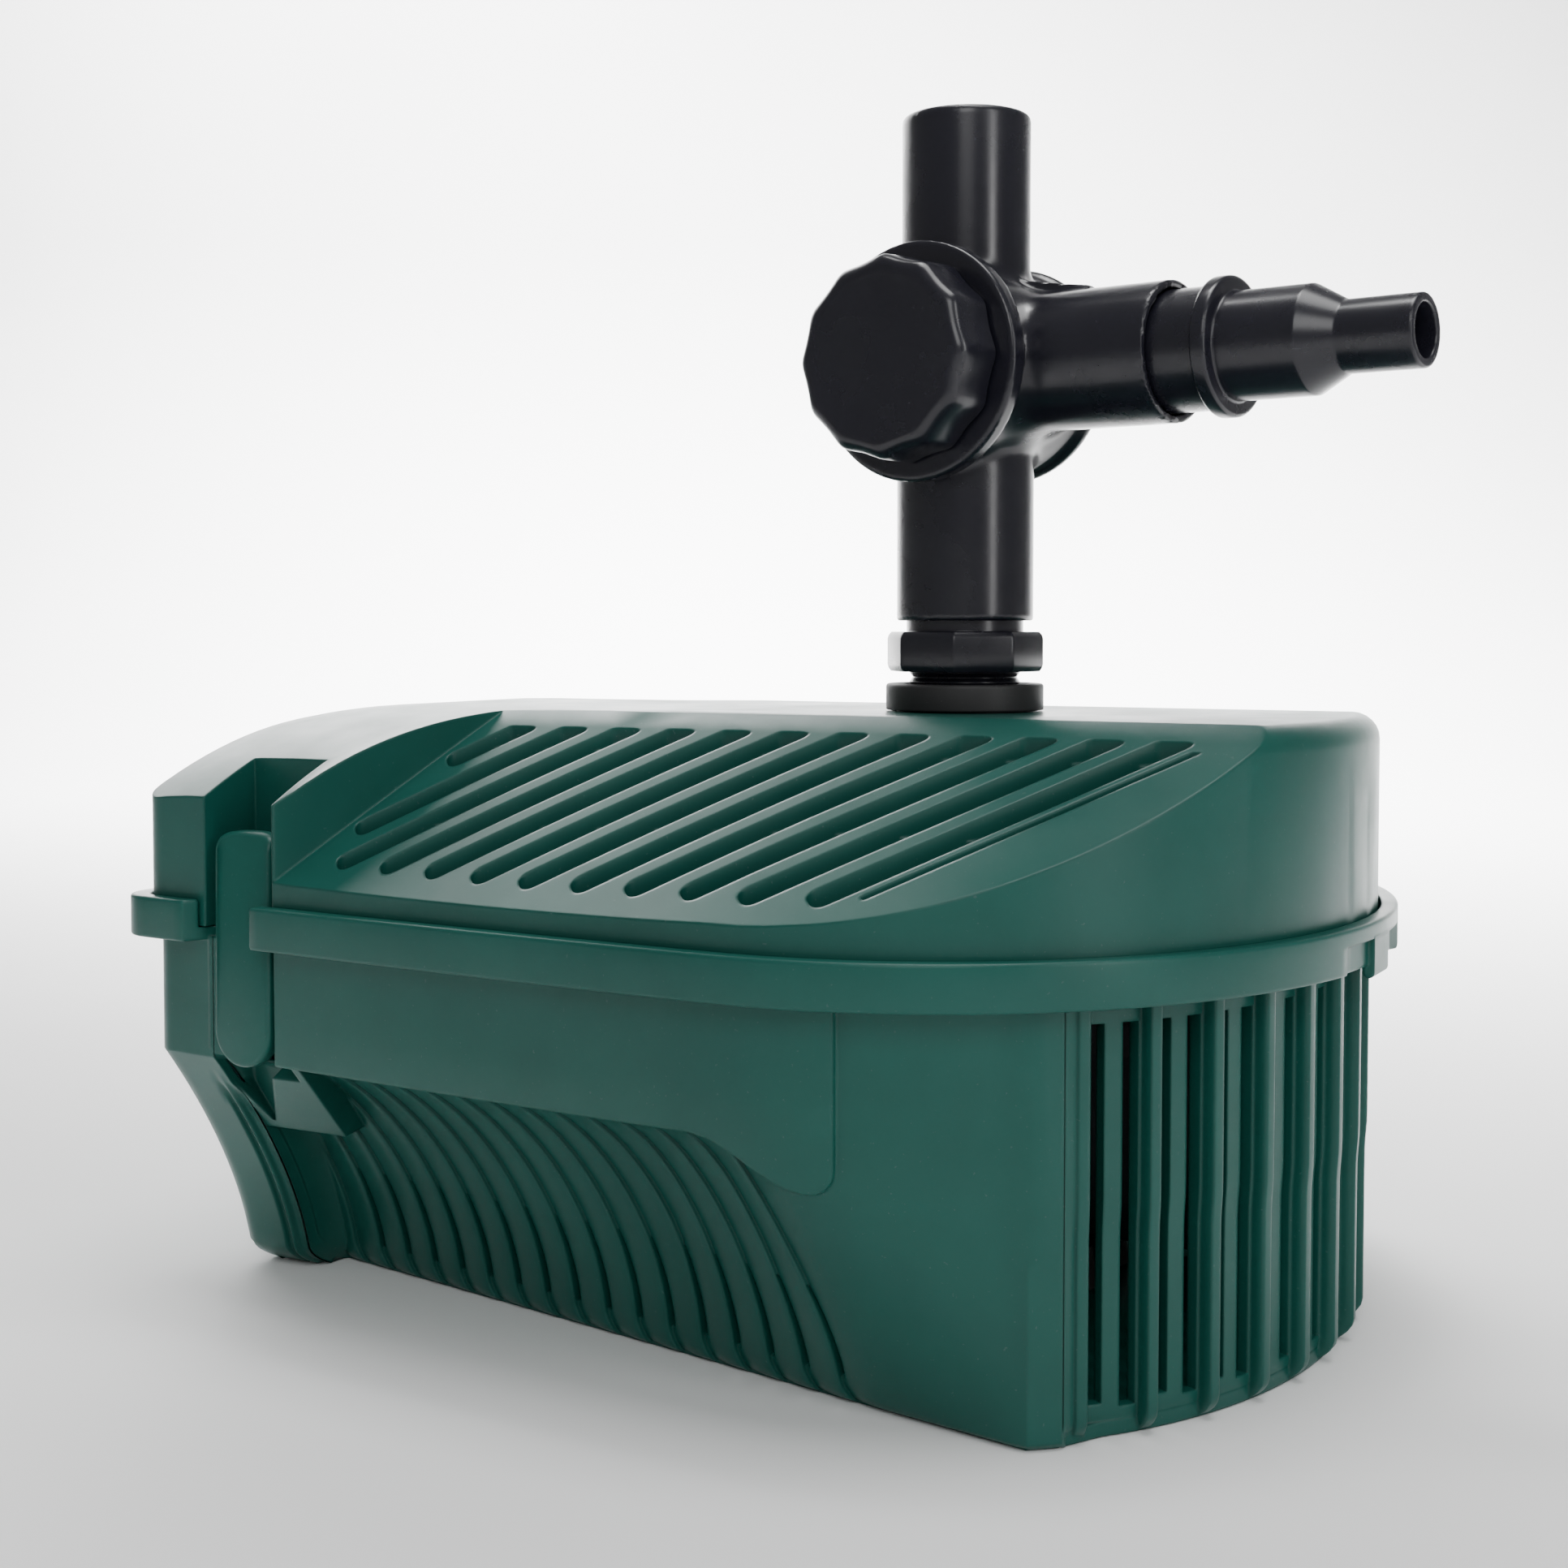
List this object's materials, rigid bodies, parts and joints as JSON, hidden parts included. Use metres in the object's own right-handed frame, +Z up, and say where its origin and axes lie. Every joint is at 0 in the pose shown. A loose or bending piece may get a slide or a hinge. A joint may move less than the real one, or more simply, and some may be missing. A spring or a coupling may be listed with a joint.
{
  "type": "fountain submersible pump",
  "caption": "Submersible fountain pump in a slotted two-part green filter casing, with a swivelling black flow-control tee and stepped hose tail on its lid.",
  "frame": {"origin": "On the flat underside of the base casing, straight below the outlet riser's axis.", "axes": "+X runs along the casing towards the rounded slotted nose, +Z is up along the outlet riser, and -Y is the side with the near latch and the flow knob."},
  "size_m": [0.2352, 0.184, 0.224],
  "materials": {
    "green_plastic": "moulded, satin gloss",
    "black_plastic": "moulded, gloss",
    "matte_black": "moulded, fine matte",
    "motor_plastic": "moulded, matte",
    "impeller_plastic": "moulded, natural grey-white",
    "seal_rubber": "soft black rubber",
    "foam_coarse": "open-cell coarse filter foam, blue",
    "foam_fine": "open-cell fine filter foam, black",
    "stainless_steel": "stainless steel",
    "magnet_ferrite": "ground ferrite magnet",
    "ceramic_shaft": "polished alumina",
    "lamination_steel": "stacked steel laminations",
    "copper_wire": null,
    "potting_resin": "cast black resin"
  },
  "bodies": {
    "casing": {"base_casing": "green_plastic", "foam_coarse": "foam_coarse", "foam_fine": "foam_fine", "suction_tube": "black_plastic", "volute_casing": "black_plastic", "volute_cover": "black_plastic", "volute_oring": "seal_rubber", "volute_screw_1": "stainless_steel", "volute_screw_2": "stainless_steel", "volute_screw_3": "stainless_steel", "volute_screw_4": "stainless_steel", "motor_housing": "motor_plastic", "stator_core": "lamination_steel", "coil_left": "copper_wire", "coil_right": "copper_wire", "resin_plug": "potting_resin", "cable_gland": "seal_rubber", "pump_foot_1": "seal_rubber", "pump_foot_2": "seal_rubber", "pump_foot_3": "seal_rubber", "pump_foot_4": "seal_rubber", "rotor_shaft": "ceramic_shaft", "bush_front": "seal_rubber", "bush_rear": "seal_rubber", "outlet_gasket": "seal_rubber"},
    "rotor": {"rotor_magnet": "magnet_ferrite", "impeller": "impeller_plastic"},
    "lid": {"lid": "green_plastic", "outlet_adapter": "matte_black", "adapter_nut": "black_plastic", "outlet_nipple": "black_plastic"},
    "latch_near": {"latch_near": "green_plastic"},
    "latch_far": {"latch_far": "green_plastic"},
    "tee": {"tee_body": "black_plastic"},
    "knob": {"flow_knob": "black_plastic", "valve_plug": "black_plastic", "plug_oring_front": "seal_rubber", "plug_oring_rear": "seal_rubber"},
    "hose_tail": {"hose_tail": "black_plastic", "hose_tail_oring": "seal_rubber"}
  },
  "joints": [
    {"name": "lid_hinge", "type": "hinge", "parent": "casing", "child": "lid", "pos_m": [0.078, 0, 0.07575], "axis": [0, 1, 0], "range_deg": [0, 65]},
    {"name": "latch_near_pivot", "type": "hinge", "parent": "casing", "child": "latch_near", "pos_m": [-0.1104, -0.0742, 0.056], "axis": [1, 0, 0], "range_deg": [0, 25]},
    {"name": "latch_far_pivot", "type": "hinge", "parent": "casing", "child": "latch_far", "pos_m": [-0.1104, 0.0742, 0.056], "axis": [-1, 0, 0], "range_deg": [0, 25]},
    {"name": "rotor_spin", "type": "hinge", "parent": "casing", "child": "rotor", "pos_m": [0, 0.014, 0.04], "axis": [1, 0, 0], "continuous": true},
    {"name": "tee_swivel", "type": "hinge", "parent": "lid", "child": "tee", "pos_m": [0, 0, 0.135], "axis": [0, 0, 1], "continuous": true},
    {"name": "knob_turn", "type": "hinge", "parent": "tee", "child": "knob", "pos_m": [0, 0, 0.1767], "axis": [-0.1736, -0.9848, 0], "range_deg": [0, 90]},
    {"name": "hose_tail_turn", "type": "hinge", "parent": "tee", "child": "hose_tail", "pos_m": [0, 0, 0.1767], "axis": [0.9848, -0.1736, 0], "continuous": true}
  ]
}
